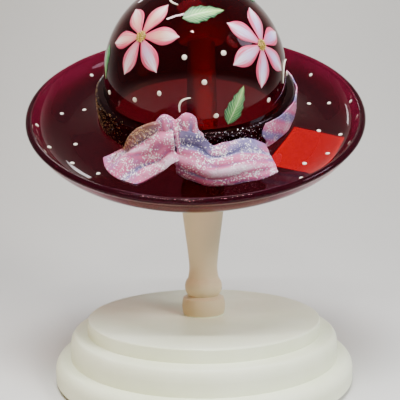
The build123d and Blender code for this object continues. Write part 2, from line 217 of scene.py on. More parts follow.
def grid_piece(name, columns, rows, place, uv=None):
    """A grid whose points are put in place by a function of two shares from 0 to 1."""
    bpy.ops.object.select_all(action="DESELECT")
    bpy.ops.mesh.primitive_grid_add(x_subdivisions=columns, y_subdivisions=rows, size=1)
    obj = bpy.context.object
    obj.name = name
    layer = obj.data.uv_layers[0]
    layer.name = "surface"
    if uv:
        for loop in layer.data:
            loop.uv = uv(loop.uv[0], loop.uv[1])
    for vertex in obj.data.vertices:
        vertex.co = Vector(place(vertex.co.x + 0.5, vertex.co.y + 0.5)) * MM
    bpy.ops.object.shade_smooth()
    return obj


# ---- Materials ----

def linear(code):
    """The linear colour of an sRGB hex code."""
    parts = [int(code[start:start + 2], 16) / 255 for start in (1, 3, 5)]
    return [p / 12.92 if p <= 0.04045 else ((p + 0.055) / 1.055) ** 2.4 for p in parts] + [1.0]


def node(mat, kind, sockets=None, stops=None, **settings):
    """Adds a node, with its settings, and sets or links its sockets."""
    made = mat.node_tree.nodes.new(kind)
    for key, value in settings.items():
        setattr(made, key, value)
    if stops:
        ramp = made.color_ramp.elements
        while len(ramp) < len(stops):
            ramp.new(0.5)
        for element, (place, code) in zip(ramp, stops):
            element.position = place
            element.color = linear(code)
    for key, value in (sockets or {}).items():
        if isinstance(value, bpy.types.NodeSocket):
            mat.node_tree.links.new(value, made.inputs[key])
        else:
            made.inputs[key].default_value = value
    return made.outputs


def finish_of(name, **values):
    """A new material and its shader, with the shader's own values set."""
    mat = bpy.data.materials.new(name)
    mat.use_nodes = True
    shader = mat.node_tree.nodes["Principled BSDF"]
    for key, value in values.items():
        shader.inputs[key.replace("_", " ")].default_value = value
    return mat, shader


def cream_paint():
    """Satin chalk paint, brushed by hand on turned wood: near-white with a green cast, with faint
    brush lines and soft highlights. On the spindle it is painted darker and beige, as painted shade."""
    mat, shader = finish_of("cream_satin_paint_on_turned_wood", Roughness=0.42, IOR=1.48)
    where = node(mat, "ShaderNodeTexCoord")["Object"]
    cloud = node(mat, "ShaderNodeTexNoise", {"Vector": where, "Scale": 28.0, "Detail": 4.0})[0]
    colour = node(mat, "ShaderNodeValToRGB", {0: cloud},
                  stops=[(0.25, "#dee5c6"), (0.5, "#e5ebd0"), (0.8, "#ecf1db")])[0]
    height = node(mat, "ShaderNodeSeparateXYZ", {0: where})["Z"]
    # Painted shade: above the top of the base, on the spindle, the paint turns darker and beige
    spindle_shade = node(mat, "ShaderNodeMapRange", {0: height, 1: 0.0399, 2: 0.0404})[0]
    paint_with_spindle_shade = node(mat, "ShaderNodeMix", {0: spindle_shade, 6: colour, 7: linear("#cfbd99")}, data_type="RGBA")[2]
    streaks = node(mat, "ShaderNodeMapping", {"Vector": where, "Scale": (1.0, 1.0, 9.0)})[0]
    brush = node(mat, "ShaderNodeTexNoise", {"Vector": streaks, "Scale": 180.0, "Detail": 3.0})[0]
    rough = node(mat, "ShaderNodeMapRange", {0: brush, 3: 0.36, 4: 0.5})[0]
    bump = node(mat, "ShaderNodeBump", {"Height": brush, "Strength": 0.12, "Distance": 0.0003})[0]
    mat.node_tree.links.new(paint_with_spindle_shade, shader.inputs["Base Color"])
    mat.node_tree.links.new(rough, shader.inputs["Roughness"])
    mat.node_tree.links.new(bump, shader.inputs["Normal"])
    return mat


def ruby_glass():
    """Solid ruby glass, pressed and fire polished: deep red, darker in the brim, glossy, with
    the faint waves of pressed glass and a little handling haze."""
    mat, shader = finish_of("ruby_glass_fire_polished", IOR=1.52)
    shader.inputs["Transmission Weight"].default_value = 0.93
    # The pinkish grey specular tint dims and tints every reflection: painted shade standing in for darker surroundings
    shader.inputs["Specular Tint"].default_value = linear("#a88a90")
    where = node(mat, "ShaderNodeTexCoord")["Object"]
    local = node(mat, "ShaderNodeMapping", {"Vector": where, "Location": CROWN_CENTRE,
                 "Rotation": (HAT_TILT, 0, 0)}, vector_type="TEXTURE")[0]
    flat = node(mat, "ShaderNodeVectorMath", {0: local, 1: (1, 1, 0)}, operation="MULTIPLY")[0]
    reach = node(mat, "ShaderNodeVectorMath", {0: flat}, operation="LENGTH")["Value"]
    share = node(mat, "ShaderNodeMapRange", {0: reach, 1: 0.058, 2: 0.118})[0]
    cloud = node(mat, "ShaderNodeTexNoise", {"Vector": where, "Scale": 22.0, "Detail": 2.0})[0]
    drift = node(mat, "ShaderNodeMath", {0: cloud, 1: 0.12, 2: share}, operation="MULTIPLY_ADD")[0]
    # Towards the rolled lip the red turns lighter: a painted highlight along its crest
    colour = node(mat, "ShaderNodeValToRGB", {0: drift}, stops=[
        (0.05, "#5c0a12"), (0.30, "#400d15"), (0.80, "#3c0f17"), (0.93, "#54121f"), (1.0, "#7d1a38")])[0]
    wave = node(mat, "ShaderNodeTexNoise", {"Vector": where, "Scale": 60.0, "Detail": 1.0})[0]
    bump = node(mat, "ShaderNodeBump", {"Height": wave, "Strength": 0.05, "Distance": 0.0006})[0]
    smear = node(mat, "ShaderNodeTexNoise", {"Vector": where, "Scale": 35.0, "Detail": 6.0})[0]
    rough = node(mat, "ShaderNodeMapRange", {0: smear, 1: 0.45, 2: 0.8, 3: 0.015, 4: 0.05})[0]
    mat.node_tree.links.new(colour, shader.inputs["Base Color"])
    mat.node_tree.links.new(rough, shader.inputs["Roughness"])
    mat.node_tree.links.new(bump, shader.inputs["Normal"])
    return mat


def frosted_ribbon():
    """Frosted glass ribbon: acid-etched glass stained pink, with lavender painted shade in the hollows of its
    folds, pale frost as painted highlight on their crests and brown painted shade on the left tail's shaded side. Matt,
    with sparkling grains."""
    mat, shader = finish_of("frosted_stained_glass_with_glitter", IOR=1.5)
    where = node(mat, "ShaderNodeTexCoord")["Object"]
    fold_shading = node(mat, "ShaderNodeAttribute", attribute_name="fold_shading")["Fac"]
    painted_shade_and_gilt = node(mat, "ShaderNodeAttribute", attribute_name="painted_shade_and_gilt")["Fac"]
    cloud = node(mat, "ShaderNodeTexNoise", {"Vector": where, "Scale": 110.0, "Detail": 4.0})[0]
    part = node(mat, "ShaderNodeMath", {0: cloud, 1: -0.5}, operation="ADD")[0]
    height = node(mat, "ShaderNodeMath", {0: part, 1: 0.5, 2: fold_shading}, operation="MULTIPLY_ADD")[0]
    # Painted shade and highlight: the fold shading runs from lavender in the hollows to pale frost on the crests
    stain_with_fold_shading = node(mat, "ShaderNodeValToRGB", {0: height}, stops=[
        (0.08, "#57507a"), (0.30, "#8073a2"), (0.46, "#a8628f"), (0.62, "#c0608a"),
        (0.82, "#cc82a6"), (1.0, "#dcc0d6")])[0]
    # Painted shade: brown over the stain where the shade mark is set, on the left tail's shaded side
    shade = node(mat, "ShaderNodeMix", {0: painted_shade_and_gilt, 6: stain_with_fold_shading, 7: linear("#7c5348")}, data_type="RGBA")[2]
    # Glitter grains are about 0.3 mm. They are drawn at 0.6 mm, so that they show.
    grains = node(mat, "ShaderNodeTexVoronoi", {"Vector": where, "Scale": 1600.0})["Color"]
    grain = node(mat, "ShaderNodeSeparateColor", {0: grains})[0]
    drift = node(mat, "ShaderNodeTexNoise", {"Vector": where, "Scale": 95.0, "Detail": 3.0})[0]
    limit = node(mat, "ShaderNodeMapRange", {0: drift, 1: 0.42, 2: 0.66, 3: 0.99, 4: 0.66})[0]
    spark = node(mat, "ShaderNodeMath", {0: grain, 1: limit}, operation="GREATER_THAN")[0]
    # In the same painted shade the sparkles turn gold
    tint = node(mat, "ShaderNodeMix", {0: painted_shade_and_gilt, 6: linear("#f3edf4"), 7: linear("#e2b98c")},
                data_type="RGBA")[2]
    colour = node(mat, "ShaderNodeMix", {0: spark, 6: shade, 7: tint}, data_type="RGBA")[2]
    rough = node(mat, "ShaderNodeMapRange", {0: spark, 3: 0.55, 4: 0.22})[0]
    etched = node(mat, "ShaderNodeTexNoise", {"Vector": where, "Scale": 900.0, "Detail": 2.0})[0]
    raised = node(mat, "ShaderNodeMath", {0: spark, 1: 0.5, 2: etched}, operation="MULTIPLY_ADD")[0]
    bump = node(mat, "ShaderNodeBump", {"Height": raised, "Strength": 0.5, "Distance": 0.0003})[0]
    mat.node_tree.links.new(colour, shader.inputs["Base Color"])
    mat.node_tree.links.new(rough, shader.inputs["Roughness"])
    mat.node_tree.links.new(bump, shader.inputs["Normal"])
    return mat


def glitter(name, hexes):
    """Glitter: metallised polyester flakes cut as hexagons, each a small mirror."""
    mat, shader = finish_of(name, Metallic=0.85, Roughness=0.28)
    where = node(mat, "ShaderNodeTexCoord")["Object"]
    cell = node(mat, "ShaderNodeTexVoronoi", {"Vector": where, "Scale": 900.0})["Color"]
    pick = node(mat, "ShaderNodeSeparateColor", {0: cell})[0]
    colour = node(mat, "ShaderNodeValToRGB", {0: pick}, stops=list(zip((0.1, 0.5, 0.9), hexes)))[0]
    mat.node_tree.links.new(colour, shader.inputs["Base Color"])
    return mat


def brushed_enamel(name, bases, stroke, tip, count, veined=False):
    """Glass enamel, painted by hand in single brush strokes and fired: glossy, slightly raised,
    its bristle lines running from the foot of each stroke to its tip."""
    mat, shader = finish_of(name, Roughness=0.28, IOR=1.5)
    spot = node(mat, "ShaderNodeSeparateXYZ", {0: node(mat, "ShaderNodeUVMap", uv_map="surface")[0]})
    rows = node(mat, "ShaderNodeMath", {0: spot["Y"], 1: float(count)}, operation="MULTIPLY")[0]
    across = node(mat, "ShaderNodeMath", {0: rows}, operation="FRACT")[0]
    number = node(mat, "ShaderNodeMath", {0: rows}, operation="FLOOR")[0]
    chance = node(mat, "ShaderNodeMath", {0: number, 1: 1.0 / count}, operation="MULTIPLY")[0]
    line = node(mat, "ShaderNodeCombineXYZ", {0: spot["X"], 1: rows, 2: number})[0]
    stretch = node(mat, "ShaderNodeMapping", {"Vector": line, "Scale": (1.4, 15.0, 3.0)})[0]
    hair = node(mat, "ShaderNodeTexNoise", {"Vector": stretch, "Scale": 1.6, "Detail": 3.0})[0]
    side = node(mat, "ShaderNodeMath", {0: across, 1: -0.5}, operation="ADD")[0]
    edge = node(mat, "ShaderNodeMath", {0: side}, operation="ABSOLUTE")[0]
    lean = node(mat, "ShaderNodeMath", {0: edge, 1: 1.1, 2: hair}, operation="MULTIPLY_ADD")[0]
    inked = node(mat, "ShaderNodeMapRange", {0: lean, 1: 0.60, 2: 0.92})[0]
    foot = node(mat, "ShaderNodeMapRange", {0: spot["X"], 1: 0.0, 2: 0.45, 3: 0.8, 4: 0.0})[0]
    body = node(mat, "ShaderNodeValToRGB", {0: chance}, stops=bases)[0]
    far = node(mat, "ShaderNodeMapRange", {0: spot["X"], 1: 0.45, 2: 1.0, 4: 0.85})[0]
    paled = node(mat, "ShaderNodeMix", {0: far, 6: body, 7: linear(tip)}, data_type="RGBA")[2]
    drawn = node(mat, "ShaderNodeMath", {0: inked, 1: foot}, operation="MAXIMUM")[0]
    colour = node(mat, "ShaderNodeMix", {0: drawn, 6: paled, 7: linear(stroke)}, data_type="RGBA")[2]
    if veined:
        rib = node(mat, "ShaderNodeMath", {0: edge, 1: 0.035}, operation="LESS_THAN")[0]
        climb = node(mat, "ShaderNodeMath", {0: edge, 1: -0.5, 2: spot["X"]}, operation="MULTIPLY_ADD")[0]
        rungs = node(mat, "ShaderNodeMath", {0: climb, 1: 11.0}, operation="MULTIPLY")[0]
        rung = node(mat, "ShaderNodeMath", {0: rungs}, operation="FRACT")[0]
        vein = node(mat, "ShaderNodeMath", {0: rung, 1: 0.13}, operation="LESS_THAN")[0]
        lines = node(mat, "ShaderNodeMath", {0: rib, 1: vein}, operation="MAXIMUM")[0]
        faint = node(mat, "ShaderNodeMath", {0: lines, 1: 0.55}, operation="MULTIPLY")[0]
        colour = node(mat, "ShaderNodeMix", {0: faint, 6: colour, 7: linear("#d9efb4")}, data_type="RGBA")[2]
    bump = node(mat, "ShaderNodeBump", {"Height": hair, "Strength": 0.35, "Distance": 0.0002})[0]
    mat.node_tree.links.new(colour, shader.inputs["Base Color"])
    mat.node_tree.links.new(bump, shader.inputs["Normal"])
    return mat


def dabbed_enamel(name, hexes, scale, rough=0.3):
    """Glass enamel dabbed on with the tip of a brush: small glossy beads with an uneven colour."""
    mat, shader = finish_of(name, Roughness=rough, IOR=1.5)
    where = node(mat, "ShaderNodeTexCoord")["Object"]
    cloud = node(mat, "ShaderNodeTexNoise", {"Vector": where, "Scale": scale, "Detail": 3.0})[0]
    colour = node(mat, "ShaderNodeValToRGB", {0: cloud}, stops=list(zip((0.35, 0.5, 0.65), hexes)))[0]
    bump = node(mat, "ShaderNodeBump", {"Height": cloud, "Strength": 0.3, "Distance": 0.0002})[0]
    mat.node_tree.links.new(colour, shader.inputs["Base Color"])
    mat.node_tree.links.new(bump, shader.inputs["Normal"])
    return mat


def wool_felt():
    """Wool felt, pressed from dyed fibres: matt, with a soft nap and short crossing hairs."""
    mat, shader = finish_of("maroon_wool_felt", Roughness=0.95)
    shader.inputs["Sheen Weight"].default_value = 0.35
    where = node(mat, "ShaderNodeTexCoord")["Object"]
    nap = node(mat, "ShaderNodeTexNoise", {"Vector": where, "Scale": 900.0, "Detail": 4.0})[0]
    colour = node(mat, "ShaderNodeValToRGB", {0: nap}, stops=[(0.3, "#3d1a20"), (0.7, "#5a2a32")])[0]
    bump = node(mat, "ShaderNodeBump", {"Height": nap, "Strength": 0.5, "Distance": 0.0004})[0]
    mat.node_tree.links.new(colour, shader.inputs["Base Color"])
    mat.node_tree.links.new(bump, shader.inputs["Normal"])
    return mat


def zinc_steel():
    """Zinc-plated steel: turned screws with a bluish grey plating, mottled in colour and roughness."""
    mat, shader = finish_of("zinc_plated_steel", Metallic=1.0)
    where = node(mat, "ShaderNodeTexCoord")["Object"]
    mottle = node(mat, "ShaderNodeTexNoise", {"Vector": where, "Scale": 350.0, "Detail": 3.0})[0]
    colour = node(mat, "ShaderNodeValToRGB", {0: mottle}, stops=[(0.3, "#a9abb0"), (0.7, "#c6c8cc")])[0]
    rough = node(mat, "ShaderNodeMapRange", {0: mottle, 3: 0.25, 4: 0.45})[0]
    mat.node_tree.links.new(colour, shader.inputs["Base Color"])
    mat.node_tree.links.new(rough, shader.inputs["Roughness"])
    return mat


def bare_beech():
    """Bare beech, planed: pale straight grain along the dowel with short dark flecks."""
    mat, shader = finish_of("bare_beech", Roughness=0.6)
    where = node(mat, "ShaderNodeTexCoord")["Object"]
    long = node(mat, "ShaderNodeMapping", {"Vector": where, "Scale": (1.0, 1.0, 0.08)})[0]
    grain = node(mat, "ShaderNodeTexNoise", {"Vector": long, "Scale": 900.0, "Detail": 4.0})[0]
    colour = node(mat, "ShaderNodeValToRGB", {0: grain}, stops=[(0.3, "#c39a6c"), (0.7, "#dcb98c")])[0]
    mat.node_tree.links.new(colour, shader.inputs["Base Color"])
    return mat


# ---- Studio ----

def add_studio():
    """A pale sweep that is floor in front and backdrop behind, and soft lights."""
    corners = ((-2.4, 0.0), (0.75, 0.0), (0.75, 1.9))
    line = rounded([(y / MM, z / MM) for y, z in corners], (500,), step=40)

    def place(along, across):
        spot = line[min(len(line) - 1, round(across * (len(line) - 1)))]
        return ((along - 0.5) * 5000, spot.x, spot.y)

    sweep = grid_piece("studio_sweep", 2, len(line) - 1, place)
    mat, shader = finish_of("matt_paper_backdrop", Roughness=0.85)
    where = node(mat, "ShaderNodeTexCoord")["Object"]
    grain = node(mat, "ShaderNodeTexNoise", {"Vector": where, "Scale": 3.0, "Detail": 2.0})[0]
    colour = node(mat, "ShaderNodeValToRGB", {0: grain}, stops=[(0.3, "#cfcfcc"), (0.7, "#d3d3d0")])[0]
    mat.node_tree.links.new(colour, shader.inputs["Base Color"])
    sweep.data.materials.append(mat)
    world = bpy.data.worlds.new("soft_studio_air")
    world.use_nodes = True
    air = world.node_tree.nodes["Background"]
    air.inputs["Color"].default_value = linear("#c9ced6")
    air.inputs["Strength"].default_value = 0.2
    bpy.context.scene.world = world
    for name, place, aim, shape, size, power, colour, shines in (
        ("key_softbox", (0.75, -0.60, 0.75), (0, 0, 0.12), "DISK", 0.3, 11.0, "#fffaf2", False),
        ("warm_fill", (-0.9, -0.45, 0.30), (0, 0, 0.06), "DISK", 0.4, 3.2, "#ffcf90", False),
        ("top_softbox", (-0.05, -0.20, 1.0), (0, 0, 0.1), "DISK", 0.35, 10.0, "#f6f6fa", False),
        ("window", (0.63, -0.29, 0.60), (0, 0, 0.22), "DISK", 0.26, 1.6, "#dfe8ff", True),
        ("star_spot", (-0.028, -0.594, 0.68), (0, 0, 0.25), "DISK", 0.03, 1.0, "#fff6e4", True),
    ):
        bpy.ops.object.light_add(type="AREA", location=place)
        light = bpy.context.object
        light.name = name
        light.data.shape = shape
        light.data.size = size
        light.data.energy = power
        light.data.color = linear(colour)[:3]
        light.visible_glossy = shines
        light.visible_camera = False
        way = Vector(aim) - Vector(place)
        light.rotation_euler = way.to_track_quat("-Z", "Y").to_euler()
    # Strips overhead draw the bright line along the lip and the soft streak in the dish
    for name, place, turn, size, power in (("lip_strip", (-0.05, -0.30, 0.75), 0.0, (0.5, 0.03), 5.0),
                                           ("dish_strip", (-0.22, 0.44, 0.72), -0.45, (0.24, 0.06), 0.4)):
        bpy.ops.object.light_add(type="AREA", location=place, rotation=(turn, 0, 0))
        strip = bpy.context.object
        strip.name = name
        strip.data.shape = "RECTANGLE"
        strip.data.size, strip.data.size_y = size
        strip.data.energy = power
        strip.visible_camera = strip.visible_transmission = False
    # A lit card under the right of the brim, seen only through the glass, as a red patch
    bpy.ops.object.light_add(type="AREA")
    card = bpy.context.object
    card.name = "card_seen_through_brim"
    card.data.shape = "RECTANGLE"
    card.data.size, card.data.size_y = 0.041, 0.054
    card.data.energy = 0.11
    card.data.color = linear("#ff0020")[:3]
    card.matrix_world = HAT_PLACE @ Matrix.Translation((0.078, -0.033, -0.044)) @ Matrix.Rotation(
        math.radians(-26), 4, "Z") @ Matrix.Rotation(math.pi, 4, "X")
    card.visible_camera = card.visible_diffuse = card.visible_glossy = False
    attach(card, "hat")
    # The light that comes in through the red crown and shows the head of the stand inside it
    bpy.ops.object.light_add(type="POINT", location=(0.010, -0.040, 0.182))
    glow = bpy.context.object
    glow.name = "light_inside_crown"
    glow.data.shadow_soft_size = 0.01
    glow.data.energy = 0.14
    glow.data.color = linear("#ff5a60")[:3]
    glow.visible_camera = glow.visible_transmission = glow.visible_glossy = False
    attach(glow, "hat")


add_camera()
add_studio()

cream = cream_paint()
ruby = ruby_glass()
for name in ("base_lower_board", "base_middle_board", "base_top_board", "post_head"):
    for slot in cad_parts[name].material_slots:
        slot.material = cream

# ---- Spindle: foot, groove, bead and a long taper, with the tenon and the bores ----
SEAT = 39.5
TENON = (9.0, 15.8)
BORE = 4.05
foot = [Vector((15.1 - 0.024 * (height - 5.8) ** 2, height)) for height in (0, 1.5, 3, 4.5, 6, 7.5, 9, 10.5, 11.6)]
bead = [Vector((3.9 + math.sqrt(9.2 ** 2 - (12.4 * index / 14 - 6.2) ** 2), 13.2 + 12.4 * index / 14))
        for index in range(14)]
taper = [Vector(point) for point in ((10.8, 25.5), (9.8, 31), (9.9, 35), (11.1, 46), (13.0, 60.4), (14.4, 71),
                                     (15.4, 80), (15.2, 87), (13.6, 92.5), (11.6, 95))]
side = foot + bead + eased(spaced(taper, 1.0), 12)
spindle_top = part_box("spindle")[1][2] / MM
outline = [(0, TENON[1] + 23.9), (BORE, TENON[1] + 23.9), (BORE, TENON[1]), TENON, (TENON[0], SEAT)]
outline += [(point.x, SEAT + point.y) for point in side]
outline += [(9.4, spindle_top), (BORE, spindle_top), (BORE, spindle_top - 18), (0, spindle_top - 18)]
turning = turned("turned_spindle", outline, steps=96, sharp=35)
turning.data.materials.append(cream)
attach(turning, "stand")
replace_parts(turning, "spindle")

# ---- Hat shell: crown and brim in one wall, with a rolled lip ----
crown_line = [Vector((CROWN_RADIUS * math.sin(a * math.pi / 120), CROWN_RADIUS * math.cos(a * math.pi / 120)))
              for a in range(60)]
upper = crown_line + rounded(BRIM_CORNERS, BRIM_ROUNDS)
upper = eased(spaced(upper, 1.4), 14)
lower = beside(upper, GLASS)
lip = []
for index in range(1, 12):
    turn = math.pi * index / 12
    middle = (upper[-1] + lower[-1]) / 2
    out = (upper[-1] - lower[-1]).normalized()
    up = Vector((out.y, -out.x))
    lip.append(middle + (out * math.cos(turn) + up * math.sin(turn)) * LIP_RADIUS)
outline = [(max(0, p.x), p.y) for p in upper + lip + lower[::-1]]
hat_glass = turned("hat_glass", outline, steps=144, sharp=60)
hat_glass.data.materials.append(ruby)
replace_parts(on_hat(hat_glass), "glass_shell")

# The same upper line again, for what lies on the glass: by turn round the axis and by reach
# along the glass from the pole
reaches = [0.0]
for first, last in zip(upper, upper[1:]):
    reaches.append(reaches[-1] + (last - first).length)
EQUATOR = CROWN_RADIUS * math.pi / 2
BRIM_REACH = reaches[-1] - EQUATOR


def on_glass(turn, reach, lift=0.0):
    """A point on or above the glass, in mm."""
    share = max(0.0, min(reach, reaches[-1] - 0.01)) / reaches[-1] * (len(upper) - 1)
    index = min(int(share), len(upper) - 2)
    spot = upper[index].lerp(upper[index + 1], share - index)
    way = (upper[index + 1] - upper[index]).normalized()
    spot = spot + Vector((-way.y, way.x)) * lift
    return Vector((spot.x * math.sin(turn), -spot.x * math.cos(turn), spot.y))


def from_spot(azimuth, elevation, turn, x, y, lift):
    """A point on the crown: x mm along a direction turned from the level, y mm to its left."""
    az, el = math.radians(azimuth), math.radians(elevation)
    out = Vector((math.cos(el) * math.sin(az), -math.cos(el) * math.cos(az), math.sin(el)))
    level = Vector((math.cos(az), math.sin(az), 0))
    rising = out.cross(level)
    angle = math.radians(turn) + math.atan2(y, x)
    reach = math.hypot(x, y) / CROWN_RADIUS
    way = out * math.cos(reach) + (level * math.cos(angle) + rising * math.sin(angle)) * math.sin(reach)
    return on_glass(math.atan2(way.x, -way.y), CROWN_RADIUS * (math.pi / 2 - math.asin(way.z)), lift)


def smooth_through(keys, place):
    """A smooth value between keys that are evenly spaced from 0 to 1."""
    share = max(0.0, min(1.0, place)) * (len(keys) - 1)
    index = min(int(share), len(keys) - 2)
    t = share - index
    a, b = keys[max(0, index - 1)], keys[index]
    c, d = keys[index + 1], keys[min(len(keys) - 1, index + 2)]
    return ((b * 2) + (c - a) * t + (a * 2 - b * 5 + c * 4 - d) * t * t + (b * 3 - a - c * 3 + d) * t ** 3) * 0.5


# ---- Moulded band round the foot of the crown ----
slope = (WALL_FOOT[0] - CROWN_RADIUS) / WALL_FOOT[1]
inner = [CROWN_RADIUS + 0.25 + slope * height for height in (BAND_TOP, BAND_BOTTOM)]
ring = rounded(((inner[0], BAND_TOP), (69.2, BAND_TOP), (69.8, -16), (69.3, BAND_BOTTOM), (inner[1], BAND_BOTTOM)),
               (2.2, 30, 2.2), step=0.8)
band = turned("moulded_band", [(p.x, p.y) for p in ring], steps=144, sharp=50)
band.data.materials.append(ruby)

# ---- Bow: a gathered knot and two draped tails of frosted ribbon ----
frosted = frosted_ribbon()
silver = glitter("silver_glitter", ("#d8d4dc", "#f4f0f6", "#cfc6dc"))
gilt = glitter("gold_glitter", ("#c99a5e", "#f0cf94", "#a8733f"))

# Ribs across each tail, from the knot to the free end, each from its upper to its lower edge
LEFT_RIBS = (
    ((-13.0, -70.5, 4.0), (-12.5, -73.0, 0.0), (-12.0, -75.5, -6.0), (-12.0, -77.5, -12.0), (-12.0, -79.5, -17.0)),
    ((-21.5, -69.5, 4.0), (-20.0, -73.5, -1.5), (-17.5, -76.0, -7.5), (-15.5, -79.0, -13.0), (-14.0, -82.0, -18.0)),
    ((-30.7, -66.5, -0.5), (-27.5, -71.5, -7.0), (-23.0, -76.5, -13.0), (-20.0, -81.5, -17.5), (-18.5, -84.5, -21.5)),
    ((-38.6, -64.5, -8.0), (-35.0, -70.0, -13.0), (-30.0, -75.5, -16.0), (-26.5, -81.5, -20.5), (-24.0, -86.5, -25.0)),
    ((-44.0, -60.0, -22.5), (-41.5, -68.5, -21.5), (-38.5, -76.5, -21.0), (-33.5, -83.0, -24.5), (-30.0, -88.0, -28.0)),
    ((-57.5, -63.5, -28.3), (-55.0, -73.0, -28.3), (-49.0, -81.0, -28.6), (-41.5, -87.0, -28.8), (-34.5, -90.0, -29.2)),
)
RIGHT_RIBS = (
    ((-9.0, -71.5, 2.0), (-9.0, -74.5, -5.0), (-9.5, -76.5, -12.0), (-10.0, -77.5, -18.5), (-10.0, -79.0, -25.0)),
    ((2.5, -73.0, -3.0), (0.5, -77.0, -9.0), (-1.5, -81.0, -15.5), (-3.0, -82.5, -22.0), (-4.0, -84.0, -28.5)),
    ((10.4, -72.3, -12.0), (9.0, -77.5, -15.0), (8.0, -82.5, -19.0), (7.5, -85.0, -24.0), (7.0, -87.3, -29.0)),
    ((19.0, -70.3, -11.5), (20.0, -76.5, -14.5), (20.5, -81.5, -18.8), (21.0, -84.5, -23.8), (20.5, -87.0, -29.0)),
    ((31.0, -66.0, -12.0), (33.0, -72.5, -15.5), (34.5, -77.5, -19.8), (35.3, -81.5, -24.5), (35.5, -84.5, -29.0)),
    ((42.0, -60.5, -20.5), (44.2, -65.5, -22.8), (46.5, -70.0, -25.5), (48.5, -74.0, -28.0), (50.5, -78.0, -29.2)),
)


def drawn_through(ribs, along, across):
    """A point of the surface that is stretched smoothly over a tail's ribs."""
    line = [smooth_through([Vector(point) for point in rib], across) for rib in ribs]
    return smooth_through(line, along)


def tail(name, ribs, folds, lean, shade_and_gilt_spread, seed):
    """One draped tail: its folds are deep at the knot and die away towards the free end."""
    chance = random.Random(seed)
    wander = [chance.uniform(-0.06, 0.06) for _ in range(5)]
    shading_marks = []

    def place(along, across):
        spot = drawn_through(ribs, along, across)
        step = 0.02
        run = drawn_through(ribs, min(1, along + step), across) - drawn_through(ribs, max(0, along - step), across)
        side = drawn_through(ribs, along, min(1, across + step)) - drawn_through(ribs, along, max(0, across - step))
        out = run.cross(side).normalized()
        if out.z - out.y < 0:
            out = -out
        bend = across + smooth_through(wander, along)
        wave = sum(size * math.cos(2 * math.pi * (count * bend + shift)) for count, size, shift in folds)
        crease = smooth_through([1.0, 1.05, 0.9, 0.7, 0.45, 0.2], along)
        streak = noise.noise(Vector((along * 2.4, bend * 8, seed))) + 0.5 * noise.noise(Vector((along * 4, bend * 17, seed)))
        # Fold shading, painted shade and highlight: low in the hollows, high on the crests and, by lean, towards the
        # lower edge, with streaks
        shading_marks.append((0.5 + 0.3 * wave * crease / folds[0][1] + lean * (across - 0.5) + 0.42 * streak,
                      shade_and_gilt_spread(along, across)))
        return spot + out * (wave * crease + 0.6)

    piece = grid_piece(name, 56, 36, place)
    fold_shading = piece.data.attributes.new("fold_shading", "FLOAT", "POINT")
    painted_shade_and_gilt = piece.data.attributes.new("painted_shade_and_gilt", "FLOAT", "POINT")
    for index, (height, share) in enumerate(shading_marks):
        fold_shading.data[index].value = max(0, min(1, height))
        painted_shade_and_gilt.data[index].value = max(0, min(1, share))
    if piece.data.polygons[0].normal.z < 0:
        piece.data.flip_normals()
    finished(piece, "SOLIDIFY", thickness=2.6 * MM, offset=-1.0, use_even_offset=False)
    finished(piece, "SUBSURF", levels=1, render_levels=1)
    bpy.ops.object.shade_smooth()
    piece.data.materials.append(frosted)
    return piece


# The left tail's upper side takes the brown painted shade with gold sparkle; the right tail none
left_tail = tail("bow_left_drape", LEFT_RIBS, ((2.0, 2.0, 0.10), (4.3, 0.5, 0.4)), 0.15,
                 lambda along, across: 3.2 * (0.38 - across) * min(1, 3 * along, 4 * (0.95 - along)), 3)
right_tail = tail("bow_right_drape", RIGHT_RIBS, ((1.5, 1.3, 0.05), (4.1, 0.5, 0.3)), 0.5,
                  lambda along, across: 0.0, 8)


def knot_lobe(place, size, lean):
    """A full, rounded lobe, leaning to one side."""
    bpy.ops.object.select_all(action="DESELECT")
    bpy.ops.mesh.primitive_uv_sphere_add(segments=48, ring_count=28, radius=1, location=(0, 0, 0))
    lobe = bpy.context.object
    lobe.matrix_world = (Matrix.Translation(Vector(place) * MM) @ Matrix.Rotation(math.radians(lean), 4, "Y")
                         @ Matrix.Diagonal((size[0] * MM, size[1] * MM, size[2] * MM, 1)))
    bpy.ops.object.transform_apply(location=True, rotation=True, scale=True)
    return lobe


knot = joined([
    knot_lobe((-16.5, -70.5, 0.5), (6.2, 4.6, 8.2), -14),
    knot_lobe((-5.0, -71.0, 1.5), (6.4, 4.6, 8.4), 16),
    knot_lobe((0.0, -71.8, -3.5), (4.0, 4.0, 7.5), -30),
    knot_lobe((-11.0, -73.0, -7.0), (5.5, 4.2, 9.5), 4),
    knot_lobe((-14.5, -74.0, -9.0), (3.0, 3.4, 9.0), 12),
    knot_lobe((-7.5, -74.5, -10.0), (3.2, 3.4, 10.0), -4),
], "bow_gathered_knot")
finished(knot, "REMESH", mode="VOXEL", voxel_size=0.75 * MM)
finished(knot, "SMOOTH", factor=0.5, iterations=6)
fold_shading = knot.data.attributes.new("fold_shading", "FLOAT", "POINT")
knot.data.attributes.new("painted_shade_and_gilt", "FLOAT", "POINT")
pleats = []
for vertex in knot.data.vertices:
    x, z = vertex.co.x / MM + 10.5, vertex.co.z / MM
    pleat = math.cos(x * (1.15 - 0.02 * z) + 0.12 * z) * min(1, max(0, (10 - z) / 14))
    pleats.append(pleat)
# Painted shade and highlight on the knot: lighter on the crests of the pleats, darker between them
for vertex, pleat in zip(knot.data.vertices, pleats):
    fold_shading.data[vertex.index].value = 0.55 + 0.35 * pleat
    vertex.co += vertex.normal * 0.75 * MM * pleat
bpy.ops.object.shade_smooth()
knot.data.materials.append(frosted)

